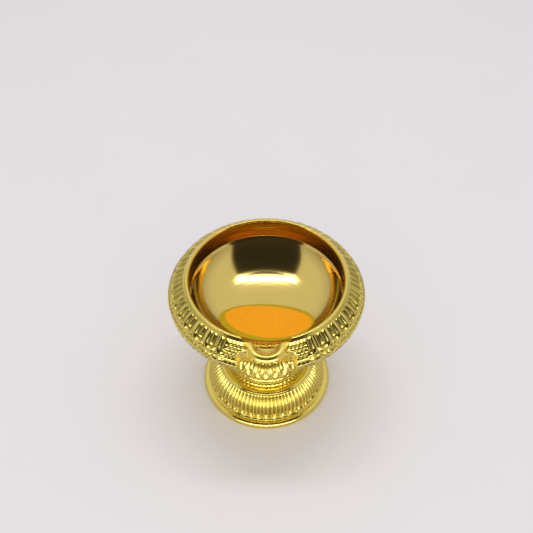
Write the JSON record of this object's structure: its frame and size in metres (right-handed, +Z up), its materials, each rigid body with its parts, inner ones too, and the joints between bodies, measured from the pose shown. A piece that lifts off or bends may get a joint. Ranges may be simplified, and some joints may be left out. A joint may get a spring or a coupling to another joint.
{
  "type": "diya oil lamp",
  "caption": "Small footed oil lamp of cast brass: a round carved bowl with a wick spout, screwed to a carved knop on a hollow fluted foot.",
  "frame": {"origin": "on the table, under the middle of the foot, on the lamp's axis", "axes": "+Z up the lamp's axis; the wick spout points along -Y; +X to the right when the spout faces the viewer"},
  "size_m": [0.0636, 0.063, 0.054],
  "materials": {
    "cast_brass": "cast, carved and bright polished; turned and polished inside the bowl",
    "polished_brass": "filed smooth and polished",
    "threaded_brass": "turned, unpolished",
    "label_paper": "orange foil label with an olive gold border, blank",
    "washer_leather": "thin oiled leather"
  },
  "bodies": {
    "pedestal": {"pedestal_foot": "cast_brass", "stem_knop": "cast_brass"},
    "washer": {"seat_washer": "washer_leather"},
    "bowl": {"oil_bowl": "cast_brass", "wick_spout": "polished_brass", "bowl_stud": "threaded_brass", "bowl_label": "label_paper"}
  },
  "joints": [
    {"name": "bowl_rise", "type": "slide", "parent": "pedestal", "child": "washer", "axis": [0, 0, 1], "range_m": [0, 0.00532]},
    {"name": "bowl_unscrew", "type": "hinge", "parent": "washer", "child": "bowl", "pos_m": [0, 0, 0.025], "axis": [0, 0, 1], "range_deg": [0, 1530]}
  ],
  "couplings": [
    {"joint": "bowl_rise", "follows": "bowl_unscrew", "m_per_rad": 0.00019894}
  ]
}
